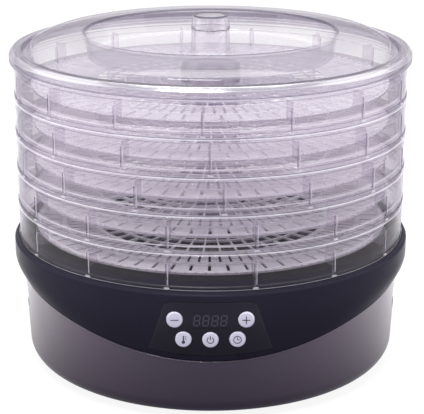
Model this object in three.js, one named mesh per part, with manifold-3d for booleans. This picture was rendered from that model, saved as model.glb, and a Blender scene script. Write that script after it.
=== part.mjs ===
// A round food dehydrator: a heated fan base, five stacking trays and a lid.
// Millimetres, +Z up. The control panel faces -Y and the feet stand on Z = 0.
import * as THREE from 'three';
import { mergeVertices } from 'three/addons/utils/BufferGeometryUtils.js';
import Module from 'manifold-3d';

const wasm = await Module();
wasm.setup();

// ---- Driving dimensions -------------------------------------------------

const GAP = 0.3; // left between pieces that touch
const SIDES = 40; // facets of the large round pieces

const FOOT_HEIGHT = 4;
const BASE_TOP = 112; // face of the base that the lowest tray rests on
const RING_RADIUS = 169; // widest part of the base
const BODY_RADIUS = 158.5; // lower shell above its bottom corner
const SEAM_RADIUS = 161.5; // where the two shells meet
const SEAM_HEIGHT = 79.5; // height of that seam at the sides and the back
const SEAM_DROP = 26.5; // it dips this much at the front
const BAND_TOP = BASE_TOP - 14; // the upper shell has its full width above this
const SHELL = 3; // wall of both shells
const CORNER = 16; // radius of the bottom corner

const TRAY_COUNT = 5;
const TRAY_PITCH = 30;
const TRAY_RADIUS = 165;
const TRAY_WALL = 2;
const TRAY_FINS = 15;
const TRAY_FLOOR = 8; // underside of the floor above the tray's lower edge
const TRAY_TURNS = [6.2, 6.4, -2.3, -6, -8]; // degrees, from the lowest tray up
const LIP_RADIUS = 161.5; // nesting lip, inside the next tray's wall
const LIP_HEIGHT = 5.5;
const MESH_RADIUS = 149; // outer edge of the floor's slots
const HUB_RADIUS = 25; // collar in the middle of a tray
const HUB_HEIGHT = 15;
const VENT_RADIUS = 12; // tube inside that collar

const LID_RADIUS = 168;
const WELL_RADIUS = 105; // round well in the middle of the lid
const DOME_TOP = 21.5; // above the lid's rim
const LID_WALL = 2;
const KNOB_RADIUS = 16.3;
const KNOB_SEAM = 23; // cap and column meet this high above the lid's rim
const KNOB_TOP = 34.5;

const GRIP_HALF = 40; // hand grips in the sides of the lower shell
const GRIP_FLOOR = 50;
const GRIP_ROOF = 69;
const GRIP_BACK = 144; // distance of a grip's back wall from the middle
const GRIP_ROUND = 8;

const OUTLET_RADIUS = 72; // seat of the air grille
const OUTLET_DEPTH = 8;
const DUCT_RADIUS = 70;
const DUCT_TOP = BASE_TOP - 2 * OUTLET_DEPTH - GAP;
const PLATE_RADIUS = 135;
const PLATE_WALL = 2.7;
const PLATE_TOP = FOOT_HEIGHT + PLATE_WALL;

const SCREW_RING = 128;
const SCREW_BORE = 2;
const FOOT_RING = 98;
const FOOT_RADIUS = 12;
const FLANGE = 10; // underside of the lower shell's flange above the table

const BOARD_TOP = 25.6; // main board's upper face
const BOARD_WALL = 1.6;
const INLET_HALF = 14; // mains inlet at the back
const INLET_Z = [27, 47];

const MOTOR_RADIUS = 28;
const MOTOR_Z = [20, 42];
const BRACKET_WALL = 3;
const MOTOR_BOLTS = [-18, 18];
const SHAFT_RADIUS = 2.5;
const FAN_RADIUS = 64;
const FAN_Z = 57;
const HEATER_Z = 80;

const BUTTON_RADIUS = 6.3;
const WINDOW_HALF = 15; // display window
const WINDOW_Z = [83.5, 96.5];
const DIGITS_FACE = 160; // display module's face, from the middle of the base
const SWITCH_BOARD = [149, 150.6];
const PANEL_TOP = BASE_TOP - 7;
const PANEL_RISE = 5.5; // the panel's lower edge runs this far above the seam
const PANEL_HALF_TOP = 35;
const PANEL_HALF_BOTTOM = 49;
const PANEL_DEPTH = 1.5;

// x, z and the distance of the cap's face from the middle of the base
const BUTTONS = {
  button_minus: [-27.5, 90.5, 168.4],
  button_plus: [27.5, 90.5, 168.4],
  button_temperature: [-20.8, 74, 167.4],
  button_power: [0, 74, 168.4],
  button_timer: [20.8, 74, 167.4],
};

// ---- Solids: closed geometries, joined and cut --------------------------

// Welds a geometry, drops its empty triangles and turns its faces outwards.
function closed(geometry) {
  const bare = geometry.clone();
  bare.deleteAttribute('normal');
  bare.deleteAttribute('uv');
  const welded = mergeVertices(bare, 1e-4);
  const position = welded.attributes.position;
  const corner = (i) => new THREE.Vector3().fromBufferAttribute(position, i);
  const index = welded.index.array;
  const kept = [];
  let volume = 0;
  for (let i = 0; i < index.length; i += 3) {
    const [a, b, c] = [index[i], index[i + 1], index[i + 2]];
    if (a === b || b === c || c === a) continue;
    kept.push(a, b, c);
    volume += corner(a).dot(corner(b).cross(corner(c)));
  }
  welded.setIndex(volume < 0 ? kept.reverse() : kept);
  return welded;
}

function solid(geometry) {
  const { attributes, index } = closed(geometry);
  const vertProperties = new Float32Array(attributes.position.array);
  const triVerts = new Uint32Array(index.array);
  return new wasm.Manifold(new wasm.Mesh({ numProp: 3, vertProperties, triVerts }));
}

function geometryOf(manifold) {
  const { vertProperties, triVerts } = manifold.getMesh();
  const geometry = new THREE.BufferGeometry();
  geometry.setAttribute('position', new THREE.BufferAttribute(vertProperties, 3));
  geometry.setIndex(new THREE.BufferAttribute(triVerts, 1));
  return geometry;
}

const join = (...parts) => geometryOf(parts.map(solid).reduce((a, b) => a.add(b)));
const cut = (body, ...tools) =>
  geometryOf(tools.map(solid).reduce((a, b) => a.subtract(b), solid(body)));
const common = (a, b) => geometryOf(solid(a).intersect(solid(b)));

// ---- Basic shapes -------------------------------------------------------

function box([x0, x1], [y0, y1], [z0, z1]) {
  const geometry = new THREE.BoxGeometry(x1 - x0, y1 - y0, z1 - z0);
  return geometry.translate((x0 + x1) / 2, (y0 + y1) / 2, (z0 + z1) / 2);
}

// An upright round bar.
function disc(radius, [z0, z1], [x, y] = [0, 0], sides = 16) {
  const geometry = new THREE.CylinderGeometry(radius, radius, z1 - z0, sides);
  return geometry.rotateX(Math.PI / 2).translate(x, y, (z0 + z1) / 2);
}

// A round bar that lies along Y.
function bar(radius, [y0, y1], [x, z], sides = 16) {
  const geometry = new THREE.CylinderGeometry(radius, radius, y1 - y0, sides);
  return geometry.translate(x, (y0 + y1) / 2, z);
}

function prism(shape, [z0, z1], curveSegments = 8) {
  const options = { depth: z1 - z0, bevelEnabled: false, curveSegments };
  return new THREE.ExtrudeGeometry(shape, options).translate(0, 0, z0);
}

// Revolves a profile of [radius, height] points about Z. A height may be a
// function of x and y, so that an edge can rise and dip on its way round.
function revolve(profile, sides = SIDES) {
  const points = profile.map(([radius], row) => new THREE.Vector2(radius, row));
  const geometry = new THREE.LatheGeometry(points, sides).rotateX(Math.PI / 2);
  const position = geometry.attributes.position;
  for (let i = 0; i < position.count; i++) {
    const height = profile[i % profile.length][1];
    const level = typeof height === 'function';
    position.setZ(i, level ? height(position.getX(i), position.getY(i)) : height);
  }
  return geometry;
}

// Revolves a profile that closes on itself.
const ring = (profile, sides = SIDES) => revolve([...profile, profile[0]], sides);

const mix = (a, b, t) => a + (b - a) * t;
const radians = THREE.MathUtils.degToRad;
const around = (radius, degrees) => [
  radius * Math.cos(radians(degrees)),
  radius * Math.sin(radians(degrees)),
];
const fractions = (steps) => Array.from({ length: steps + 1 }, (_, i) => i / steps);

// A flat slot between two radii and two angles.
function sector(inner, outer, from, to) {
  const corners = [
    around(inner, from),
    around(outer, from),
    around(outer, to),
    around(inner, to),
  ];
  return new THREE.Path(corners.map(([x, y]) => new THREE.Vector2(x, y)));
}

function roundHole(radius, [x, y]) {
  return new THREE.Path().absarc(x, y, radius, 0, 2 * Math.PI, true);
}

function discShape(radius, sides = SIDES) {
  const corners = fractions(sides).slice(1);
  return new THREE.Shape(corners.map((t) => new THREE.Vector2(...around(radius, 360 * t))));
}

// ---- Materials ----------------------------------------------------------

const look = (color, roughness, metalness = 0, opacity = 1) =>
  new THREE.MeshStandardMaterial({
    color,
    roughness,
    metalness,
    opacity,
    transparent: opacity < 1,
  });

const clearPlastic = look(0xd2ccd8, 0.12, 0, 0.4);
const blackPlastic = look(0x2f2c38, 0.18);
const metallicPlastic = look(0x6b626c, 0.3, 0.5);
const panelGloss = look(0x1c1a24, 0.08);
const keyPlastic = look(0xd8d5e0, 0.35);
const greyPlastic = look(0x55555a, 0.5);
const rubber = look(0x1a1a1a, 0.85);
const steel = look(0xb8bac0, 0.3, 1);
const coilMetal = look(0x6f6a66, 0.45, 1);
const mica = look(0xb9a98a, 0.6);
const board = look(0x2f5a3c, 0.5);
const component = look(0x33353a, 0.4);

// ---- Assembly -----------------------------------------------------------

const dehydrator = new THREE.Group();

function piece(name, geometry, material, parent = dehydrator) {
  const mesh = new THREE.Mesh(closed(geometry), material);
  mesh.name = name;
  parent.add(mesh);
  return mesh;
}

// Height of the seam between the two shells: level, with a smooth dip in front.
const seam = (x, y) => SEAM_HEIGHT - SEAM_DROP * Math.max(0, -y / Math.hypot(x, y)) ** 3;

// Points up the outside of the dark band, set in by a distance. They rise from
// the seam to the level top of the band, narrow below and full above.
function band(inset, offset = 0, steps = 4) {
  return fractions(steps).map((t) => [
    mix(SEAM_RADIUS, RING_RADIUS, Math.sin((t * Math.PI) / 2)) - inset,
    (x, y) => mix(seam(x, y) + offset, BAND_TOP, t),
  ]);
}

function upperShell() {
  const inside = RING_RADIUS - SHELL;
  const collar = OUTLET_RADIUS + SHELL;
  const throat = OUTLET_RADIUS - 6;
  const shell = ring([
    ...band(0, GAP / 2),
    [RING_RADIUS, BASE_TOP - 2],
    [RING_RADIUS - 2, BASE_TOP],
    [LIP_RADIUS, BASE_TOP],
    [LIP_RADIUS, BASE_TOP + 7],
    [LIP_RADIUS - 2.5, BASE_TOP + 7],
    [LIP_RADIUS - 5, BASE_TOP - 1],
    [OUTLET_RADIUS, BASE_TOP - OUTLET_DEPTH / 2],
    [OUTLET_RADIUS, BASE_TOP - OUTLET_DEPTH],
    [throat, BASE_TOP - OUTLET_DEPTH],
    [throat, BASE_TOP - 2 * OUTLET_DEPTH],
    [collar, BASE_TOP - 2 * OUTLET_DEPTH],
    [collar, BASE_TOP - 7],
    [inside - 10, BASE_TOP - 4],
    [inside, BASE_TOP - 4],
    ...band(SHELL, GAP / 2, 2).reverse(),
  ]);
  const post = [FLANGE + GAP, BASE_TOP - 4];
  const posts = corners(SCREW_RING).map((spot) => disc(5, post, spot, 8));
  const bores = corners(SCREW_RING).map((spot) => disc(SCREW_BORE, [0, 24], spot, 8));
  const keyHoles = Object.values(BUTTONS).map(([x, z]) => keyHole(x, z));
  return cut(join(shell, ...posts), ...bores, panelBlank(GAP), ...keyHoles, windowHole(GAP));
}

function corners(radius) {
  return [45, 135, 225, 315].map((angle) => around(radius, angle));
}

function lowerShell() {
  const edge = BODY_RADIUS - CORNER;
  const centre = FOOT_HEIGHT + CORNER;
  const corner = (radius) => fractions(4).map((t) => [
    edge + radius * Math.sin((t * Math.PI) / 2),
    centre - radius * Math.cos((t * Math.PI) / 2),
  ]);
  const top = (x, y) => seam(x, y) - GAP / 2;
  const shell = ring([
    [PLATE_RADIUS + GAP, FOOT_HEIGHT],
    ...corner(CORNER),
    [SEAM_RADIUS, top],
    [SEAM_RADIUS - SHELL, top],
    ...corner(CORNER - SHELL).reverse(),
    [edge - 2, FLANGE],
    [PLATE_RADIUS - 30, FLANGE],
    [PLATE_RADIUS - 30, PLATE_TOP + GAP],
    [PLATE_RADIUS + GAP, PLATE_TOP + GAP],
  ]);
  const bores = corners(SCREW_RING).map((spot) => disc(SCREW_BORE, [0, 12], spot, 8));
  const inletHalf = INLET_HALF + GAP;
  const [inletLow, inletHigh] = INLET_Z;
  const inlet = box([-inletHalf, inletHalf], [130, 170], [inletLow - GAP, inletHigh + GAP]);
  const grips = [-1, 1];
  const [low, high] = [GRIP_FLOOR - 2 * CORNER, SEAM_HEIGHT - SHELL];
  const inside = revolve([[0, low], [BODY_RADIUS - 1, low], [SEAM_RADIUS - 1, high], [0, high]]);
  const liners = grips.map((side) =>
    common(gripBlock(side, SHELL, GRIP_BACK - SHELL), inside),
  );
  const pockets = grips.map((side) => gripBlock(side, 0, GRIP_BACK));
  return cut(join(shell, ...liners), ...pockets, ...bores, inlet);
}

// The hand grip in one side of the lower shell: a U-shaped pocket, or with a
// margin the block of material around it.
function gripBlock(side, margin, from, to = 180) {
  const half = GRIP_HALF + margin;
  const floor = GRIP_FLOOR - margin;
  const roof = GRIP_ROOF + margin;
  const round = GRIP_ROUND + margin;
  const outline = new THREE.Shape();
  outline.moveTo(-half, roof);
  outline.lineTo(-half, floor + round);
  outline.absarc(-half + round, floor + round, round, Math.PI, 1.5 * Math.PI, false);
  outline.absarc(half - round, floor + round, round, 1.5 * Math.PI, 2 * Math.PI, false);
  outline.lineTo(half, roof);
  const block = prism(outline, [from, to], 3);
  block.rotateX(Math.PI / 2);
  block.rotateZ(Math.PI / 2);
  return side > 0 ? block : block.rotateZ(Math.PI);
}

// The trapezium of the control panel cut out of the band's outer skin.
function panelBlank(margin) {
  const top = PANEL_TOP + margin;
  const skin = ring([
    ...band(-margin),
    [RING_RADIUS + margin, BASE_TOP],
    [RING_RADIUS - PANEL_DEPTH - margin, BASE_TOP],
    ...band(PANEL_DEPTH + margin).reverse(),
  ]);
  const low = (x, y) => seam(x, y) + PANEL_RISE - margin;
  const below = ring([[120, 0], [180, 0], [180, low], [120, low]]);
  const outline = new THREE.Shape();
  const half = PANEL_HALF_TOP + margin;
  outline.moveTo(-PANEL_HALF_BOTTOM - margin, SEAM_HEIGHT - SEAM_DROP);
  outline.lineTo(PANEL_HALF_BOTTOM + margin, SEAM_HEIGHT - SEAM_DROP);
  outline.lineTo(half, top - 5);
  outline.quadraticCurveTo(half - 1, top, half - 6, top);
  outline.lineTo(6 - half, top);
  outline.quadraticCurveTo(1 - half, top, -half, top - 5);
  const trapezium = prism(outline, [RING_RADIUS - 25, RING_RADIUS + 5], 3);
  trapezium.rotateX(Math.PI / 2);
  return cut(common(skin, trapezium), below);
}

const keyHole = (x, z) => bar(BUTTON_RADIUS + 0.35, [-180, -150], [x, z]);

function windowHole(margin) {
  const half = WINDOW_HALF + margin;
  const [low, high] = WINDOW_Z;
  return box([-half, half], [-180, -155], [low - margin, high + margin]);
}

function controlPanel() {
  const keyHoles = Object.values(BUTTONS).map(([x, z]) => keyHole(x, z));
  return cut(panelBlank(0), ...keyHoles, windowHole(GAP));
}

function displayWindow() {
  const lens = ring([...band(0), ...band(PANEL_DEPTH + 1).reverse()]);
  return common(lens, windowHole(0));
}

// A key: a round cap, a flange that holds it behind the shell, and a stem.
function button([x, z, face]) {
  const cap = bar(BUTTON_RADIUS, [-face, -157], [x, z]);
  const flange = bar(BUTTON_RADIUS + 1.3, [-158.2, -156.8], [x, z]);
  const stem = bar(2.5, [-158, -156.3], [x, z], 8);
  return join(cap, flange, stem);
}

function displayModule() {
  const [low, high] = WINDOW_Z;
  const back = SWITCH_BOARD[1] + GAP;
  return box([1 - WINDOW_HALF, WINDOW_HALF - 1], [-DIGITS_FACE, -back], [low + 0.5, high - 0.5]);
}

function buttonBoard() {
  const [back, face] = SWITCH_BOARD;
  const plate = box([-42, 42], [-face, -back], [62, 101]);
  const switches = Object.values(BUTTONS).map(([x, z]) =>
    box([x - 3, x + 3], [-155, -back - 1], [z - 3, z + 3]),
  );
  return join(plate, ...switches);
}

function bottomPlate() {
  const shape = discShape(PLATE_RADIUS);
  const slots = fractions(12).slice(1);
  slots.forEach((t) => shape.holes.push(sector(20, 60, 360 * t, 360 * t + 18)));
  corners(SCREW_RING).forEach((spot) => shape.holes.push(roundHole(2.1, spot)));
  corners(FOOT_RING).forEach((spot) => shape.holes.push(roundHole(4.3, spot)));
  return prism(shape, [FOOT_HEIGHT, PLATE_TOP], 5);
}

function screw(radius, head, [z0, z1]) {
  return join(disc(radius, [z0, z1], [0, 0], 10), disc(head, [z0, z0 + 1.5], [0, 0], 12));
}

function airGrille() {
  const shape = discShape(OUTLET_RADIUS - GAP, 36);
  for (const t of fractions(12).slice(1)) {
    shape.holes.push(sector(18, 38, 360 * t, 360 * t + 20));
    shape.holes.push(sector(44, 64, 360 * t, 360 * t + 24));
  }
  const seat = BASE_TOP - OUTLET_DEPTH + GAP;
  return prism(shape, [seat, seat + 3]);
}

function heaterCoil() {
  class Spiral extends THREE.Curve {
    getPoint(t, target = new THREE.Vector3()) {
      return target.set(...around(mix(54, 28, t), 20 + 690 * t), HEATER_Z);
    }
  }
  const wire = new THREE.Shape(fractions(6).slice(1).map((t) =>
    new THREE.Vector2(...around(3, 360 * t))));
  return new THREE.ExtrudeGeometry(wire, { steps: 40, extrudePath: new Spiral() });
}

// A flat star of arms that reach the air duct.
function spider(arms, width, [z0, z1], turn = 0) {
  const bars = fractions(arms).slice(1).map((t) => {
    const arm = box([0, DUCT_RADIUS - GAP - 1], [-width / 2, width / 2], [z0, z1]);
    return arm.rotateZ(radians(turn + 360 * t));
  });
  return join(disc(width, [z0, z1]), ...bars);
}

const shaftBore = (z) => disc(SHAFT_RADIUS + GAP, z, [0, 0], 12);
const boltBores = () => MOTOR_BOLTS.map((x) => disc(1.8, [0, MOTOR_Z[0] + 6], [x, 0], 10));

function impeller() {
  const hub = disc(12, [FAN_Z - 7, FAN_Z + 7], [0, 0], 20);
  const blades = fractions(7).slice(1).map((t) => {
    const blade = box([8, FAN_RADIUS], [-16, 16], [-0.8, 0.8]);
    return blade.rotateX(radians(-28)).translate(0, 0, FAN_Z).rotateZ(2 * Math.PI * t);
  });
  return cut(join(hub, ...blades), shaftBore([FAN_Z - 17, FAN_Z + 13]));
}

function motor() {
  const [foot, top] = MOTOR_Z;
  const can = disc(MOTOR_RADIUS, [foot, top], [0, 0], 28);
  const bearing = disc(9, [top - 2, top + 4], [0, 0], 16);
  return cut(join(can, bearing), shaftBore([foot + 12, top + 8]), ...boltBores());
}

function mainBoard() {
  const underside = BOARD_TOP - BOARD_WALL;
  const plate = box([-50, 50], [-138, -80], [underside, BOARD_TOP]);
  const spots = [[-44, -126], [44, -126], [-44, -86], [44, -86]];
  const legs = spots.map((spot) => disc(3, [FLANGE + GAP, underside + 0.5], spot, 8));
  return join(plate, ...legs);
}

function powerInlet() {
  const [low, high] = INLET_Z;
  const body = box([-INLET_HALF, INLET_HALF], [138, 161], INLET_Z);
  const mouth = INLET_HALF - 3.5;
  const socket = box([-mouth, mouth], [148, 170], [low + 3.5, high - 3.5]);
  const pins = [-6, 0, 6].map((x) => box([x - 1, x + 1], [147, 158], [low + 8, low + 12]));
  return join(cut(body, socket), ...pins);
}

// A tray is one moulding. Its wall, its slotted floor and the collar in the middle
// are separate solids, so that the space above the floor stays open.
const TRAY_SIDES = 2 * TRAY_FINS;
const TRAY_INSIDE = TRAY_RADIUS - TRAY_WALL;
const FLOOR_TOP = TRAY_FLOOR + TRAY_WALL;
const FIN_ANGLES = fractions(TRAY_FINS).slice(1).map((t) => 360 * t - 84);

function trayWall() {
  const top = TRAY_PITCH - GAP;
  const wall = ring([
    [TRAY_RADIUS, 0],
    [TRAY_RADIUS, top],
    [LIP_RADIUS, top],
    [LIP_RADIUS, top + LIP_HEIGHT],
    [LIP_RADIUS - 2, top + LIP_HEIGHT],
    [LIP_RADIUS - 2, top - 3],
    [TRAY_INSIDE, top - 5],
    [TRAY_INSIDE, 0],
  ], TRAY_SIDES);
  const fins = FIN_ANGLES.map((angle) => {
    const length = [MESH_RADIUS + 4, TRAY_INSIDE + 1];
    return box(length, [-0.8, 0.8], [FLOOR_TOP + GAP, top - 5.5]).rotateZ(radians(angle));
  });
  return join(wall, ...fins);
}

function trayFloor() {
  const edge = TRAY_INSIDE * Math.cos(Math.PI / TRAY_SIDES) - GAP;
  const shape = discShape(edge, TRAY_SIDES);
  const pitch = 360 / TRAY_FINS;
  FIN_ANGLES.forEach((angle) => {
    shape.holes.push(sector(HUB_RADIUS + 10, MESH_RADIUS, angle + 2, angle + pitch - 2));
  });
  shape.holes.push(discShape(HUB_RADIUS + GAP, TRAY_SIDES));
  return prism(shape, [TRAY_FLOOR, FLOOR_TOP], 4);
}

// Two tubes, one inside the other, joined at the height of the floor.
function trayCollar() {
  const top = TRAY_FLOOR + HUB_HEIGHT;
  return ring([
    [HUB_RADIUS, TRAY_FLOOR],
    [HUB_RADIUS, top],
    [HUB_RADIUS - TRAY_WALL, top],
    [HUB_RADIUS - TRAY_WALL, FLOOR_TOP],
    [VENT_RADIUS, FLOOR_TOP],
    [VENT_RADIUS, top - 2],
    [VENT_RADIUS - TRAY_WALL, top - 2],
    [VENT_RADIUS - TRAY_WALL, TRAY_FLOOR - 2],
    [VENT_RADIUS, TRAY_FLOOR - 2],
    [VENT_RADIUS, TRAY_FLOOR],
  ], 20);
}

function lid() {
  const shell = revolve([
    [0, KNOB_SEAM - GAP],
    [KNOB_RADIUS - 0.3, KNOB_SEAM - GAP],
    [KNOB_RADIUS, LID_WALL],
    [WELL_RADIUS - 4, LID_WALL],
    [WELL_RADIUS, DOME_TOP - 1],
    [WELL_RADIUS + 2.5, DOME_TOP],
    [134, DOME_TOP - 1],
    [149, 14.5],
    [152.5, 6.3],
    [156, 6.3],
    [158.5, 9.3],
    [165.5, 9.3],
    [LID_RADIUS, 6],
    [LID_RADIUS, 0],
    [LIP_RADIUS + 1, 0],
    [LIP_RADIUS + 1, 5.9],
    [LIP_RADIUS - 3.6, 5.9],
    [LIP_RADIUS - 3.6, 4.2],
    [151.2, 4.2],
    [147.2, 12.4],
    [WELL_RADIUS + 2.6, DOME_TOP - 2.3],
    [WELL_RADIUS - 2, 0],
    [KNOB_RADIUS - 2, 0],
    [KNOB_RADIUS - 2.3, KNOB_SEAM - GAP - LID_WALL],
    [0, KNOB_SEAM - GAP - LID_WALL],
  ]);
  return cut(shell, disc(2.1, [15, 30], [0, 0], 10));
}

// The knob's cap is a hollow cup, open below, with a post for its screw.
function knobCap() {
  const cup = revolve([
    [0, KNOB_SEAM],
    [4.5, KNOB_SEAM],
    [4.5, KNOB_TOP - 2],
    [KNOB_RADIUS - 3.6, KNOB_TOP - 2],
    [KNOB_RADIUS - 2.2, KNOB_SEAM],
    [KNOB_RADIUS, KNOB_SEAM],
    [KNOB_RADIUS - 1.3, KNOB_TOP - 1],
    [KNOB_RADIUS - 2.5, KNOB_TOP],
    [0, KNOB_TOP],
  ], 24);
  return cut(cup, disc(2, [20, 33], [0, 0], 10));
}

// Base shells, plate, feet and case screws
piece('upper_shell', upperShell(), blackPlastic);
piece('lower_shell', lowerShell(), metallicPlastic);
piece('bottom_plate', bottomPlate(), greyPlastic);
corners(FOOT_RING).forEach(([x, y], i) => {
  const plug = disc(4, [2, PLATE_TOP + 2.3], [0, 0], 10);
  const foot = join(disc(FOOT_RADIUS, [0, FOOT_HEIGHT - GAP]), plug);
  piece(`foot_${i + 1}`, foot, rubber).position.set(x, y, 0);
});
corners(SCREW_RING).forEach(([x, y], i) => {
  piece(`case_screw_${i + 1}`, screw(1.7, 4, [2.2, 20]), steel).position.set(x, y, 0);
});

// Control panel
piece('control_panel', controlPanel(), panelGloss);
piece('display_window', displayWindow(), panelGloss);
piece('display_module', displayModule(), component);
piece('button_board', buttonBoard(), board);
for (const [name, spot] of Object.entries(BUTTONS)) {
  piece(name, button(spot), keyPlastic);
}

// Power electronics
piece('main_board', mainBoard(), board);
const onBoard = BOARD_TOP + GAP;
piece('transformer', box([-42, -14], [-122, -92], [onBoard, 50]), component);
piece('relay', box([-4, 14], [-104, -88], [onBoard, 42]), component);
piece('capacitor', disc(8, [onBoard, 48], [30, -112], 16), component);
piece('power_inlet', powerInlet(), component);

// Fan, heater and air duct
piece('air_duct', ring([
  [DUCT_RADIUS, PLATE_TOP + GAP],
  [DUCT_RADIUS, DUCT_TOP],
  [DUCT_RADIUS + 2, DUCT_TOP],
  [DUCT_RADIUS + 2, PLATE_TOP + GAP],
], 36), greyPlastic);
const bracketTop = MOTOR_Z[0] - GAP;
const bracket = spider(4, 20, [bracketTop - BRACKET_WALL, bracketTop]);
piece('motor_bracket', cut(bracket, ...boltBores()), steel);
piece('motor', motor(), steel);
const boltHead = bracketTop - BRACKET_WALL - 1.8;
MOTOR_BOLTS.forEach((x, i) => {
  const bolt = screw(1.5, 3, [boltHead, MOTOR_Z[0] + 5]);
  piece(`motor_screw_${i + 1}`, bolt, steel).position.set(x, 0, 0);
});
piece('fan_shaft', disc(SHAFT_RADIUS, [FAN_Z - 23, FAN_Z + 9], [0, 0], 16), steel);
piece('fan_impeller', impeller(), component);
const frameTop = HEATER_Z - 3.5;
const frame = spider(4, 8, [frameTop - 2.5, frameTop], 45);
piece('heater_frame', frame, mica);
piece('heater_coil', heaterCoil(), coilMetal);
const fuseTop = frameTop - 2.5 - GAP;
piece('thermal_fuse', box([-6, 6], [-2.5, 2.5], [fuseTop - 5.7, fuseTop]), steel);
const probe = disc(2.5, [frameTop + GAP, frameTop + 9.5], around(63, 45), 12);
piece('temperature_sensor', probe, steel);
piece('air_grille', airGrille(), blackPlastic);

// Trays and lid
TRAY_TURNS.forEach((turn, i) => {
  const tray = new THREE.Group();
  tray.position.z = BASE_TOP + GAP + i * TRAY_PITCH;
  tray.rotation.z = radians(turn);
  dehydrator.add(tray);
  const name = `tray_${TRAY_COUNT - i}`;
  piece(`${name}_wall`, trayWall(), clearPlastic, tray);
  piece(`${name}_floor`, trayFloor(), clearPlastic, tray);
  piece(`${name}_collar`, trayCollar(), clearPlastic, tray);
});
const top = new THREE.Group();
top.position.z = BASE_TOP + GAP + TRAY_COUNT * TRAY_PITCH;
dehydrator.add(top);
piece('lid', lid(), clearPlastic, top);
piece('knob_cap', knobCap(), clearPlastic, top);
piece('knob_screw', screw(1.7, 3.5, [18.2, 30]), steel, top);

export default dehydrator;
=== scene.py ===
import math

import bmesh
import bpy
from mathutils import Matrix, Vector


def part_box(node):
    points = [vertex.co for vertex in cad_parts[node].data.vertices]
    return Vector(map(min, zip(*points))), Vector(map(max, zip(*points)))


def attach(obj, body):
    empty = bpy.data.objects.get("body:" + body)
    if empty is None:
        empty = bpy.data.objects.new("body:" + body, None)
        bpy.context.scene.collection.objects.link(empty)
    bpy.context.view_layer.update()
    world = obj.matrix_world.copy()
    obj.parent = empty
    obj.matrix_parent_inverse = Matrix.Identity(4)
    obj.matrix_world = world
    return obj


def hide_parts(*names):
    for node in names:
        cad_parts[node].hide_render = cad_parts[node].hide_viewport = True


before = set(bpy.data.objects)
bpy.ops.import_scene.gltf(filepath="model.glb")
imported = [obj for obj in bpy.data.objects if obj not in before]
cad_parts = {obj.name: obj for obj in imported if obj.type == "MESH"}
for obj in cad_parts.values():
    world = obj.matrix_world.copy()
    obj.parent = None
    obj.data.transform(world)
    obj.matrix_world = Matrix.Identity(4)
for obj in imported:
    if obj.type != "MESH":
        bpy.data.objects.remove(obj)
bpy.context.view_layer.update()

MM = 0.001  # shapes below are drawn in millimetres

# ---- Sizes, in millimetres, from the frame or as in it -------------------


def node_box(name):
    low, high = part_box(name)
    return low / MM, high / MM


GAP = 0.3  # between pieces that touch
TRAYS = [f"tray_{n}" for n in (5, 4, 3, 2, 1)]  # from the lowest up
TRAY_Z = [node_box(name + "_wall")[0].z for name in TRAYS]
TRAY_PITCH = TRAY_Z[1] - TRAY_Z[0]
TRAY_RADIUS = 165.0
TRAY_TURNS = (6.2, 6.4, -2.3, -6.0, -8.0)  # degrees, as in the frame
FINS = 15
FLOOR = 8.0  # underside of a tray's floor above its lower edge
FLOOR_WALL = 1.6
LIP = 161.5  # radius of the nesting lips
LIP_HEIGHT = 5.5
HUB = 25.0  # radius of the collar in the middle of a tray
VENT = 12.0  # radius of the tube inside that collar
MESH = 150.0  # outer edge of the lattice in a tray's floor

BASE_TOP = TRAY_Z[0] - GAP
RING = node_box("upper_shell")[1].x
SEAM_RADIUS = node_box("lower_shell")[1].x
BODY_RADIUS = SEAM_RADIUS - 3  # lower shell above its bottom corner
SEAM_LEVEL = node_box("lower_shell")[1].z + GAP / 2
SEAM_DIP = 26.5  # the seam is this much lower at the front
BAND_TOP = BASE_TOP - 14  # the band has its full width above this
BOTTOM = node_box("lower_shell")[0].z
CORNER = 16.0  # radius of the lower shell's bottom corner
SHELL = 3.0  # wall of both shells
OUTLET = node_box("air_grille")[1].x + GAP
GRIP_BACK = 144.0  # distance of a hand grip's back wall from the middle

PANEL_TOP = node_box("control_panel")[1].z
PANEL_HALF_BOTTOM = 49.0
PANEL_HALF_TOP = 35.0
PANEL_RISE = 5.5  # the panel's lower edge runs this far above the seam
PANEL_CORNER = 5.5
PANEL_FACE = -0.05  # this and the next three are heights above the band's surface
PANEL_BACK = -0.9
RECESS_BACK = -1.0
LENS_BACK = -2.5

LID_Z = node_box("lid")[0].z
LID = node_box("lid")[1].x
WELL = 105.0  # radius of the round well in the lid
WELL_FLOOR = 2.0
KNOB = 16.3
KNOB_SEAM = node_box("knob_cap")[0].z - LID_Z
KNOB_TOP = node_box("knob_cap")[1].z - LID_Z

KEYS = {
    "button_minus": "minus",
    "button_plus": "plus",
    "button_temperature": "temperature",
    "button_power": "power",
    "button_timer": "timer",
}

# ---- Camera, floor and light --------------------------------------------

scene = bpy.context.scene
scene.view_settings.view_transform = "Standard"
scene.cycles.transparent_max_bounces = 96
scene.cycles.max_bounces = 14


CAMERA_PLACE = (0.0012, -1.2, 0.5027)
CAMERA_DOWN = 17.31  # degrees below level
CAMERA_LENS = 123.0


def add_camera():
    data = bpy.data.cameras.new("camera")
    data.sensor_width = 36
    data.lens = CAMERA_LENS
    data.clip_end = 30
    camera = bpy.data.objects.new("camera", data)
    camera.location = CAMERA_PLACE
    camera.rotation_euler = (math.radians(90 - CAMERA_DOWN), 0, 0)
    scene.collection.objects.link(camera)
    scene.camera = camera


def add_light(name, place, size, power, aim=(0, 0, 0.15), colour=(1, 1, 1)):
    data = bpy.data.lights.new(name, "AREA")
    data.shape = "RECTANGLE"
    data.size, data.size_y = size
    data.energy = power
    data.color = colour
    light = bpy.data.objects.new(name, data)
    light.location = place
    direction = Vector(aim) - Vector(place)
    light.rotation_euler = direction.to_track_quat("-Z", "Y").to_euler()
    scene.collection.objects.link(light)


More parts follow.
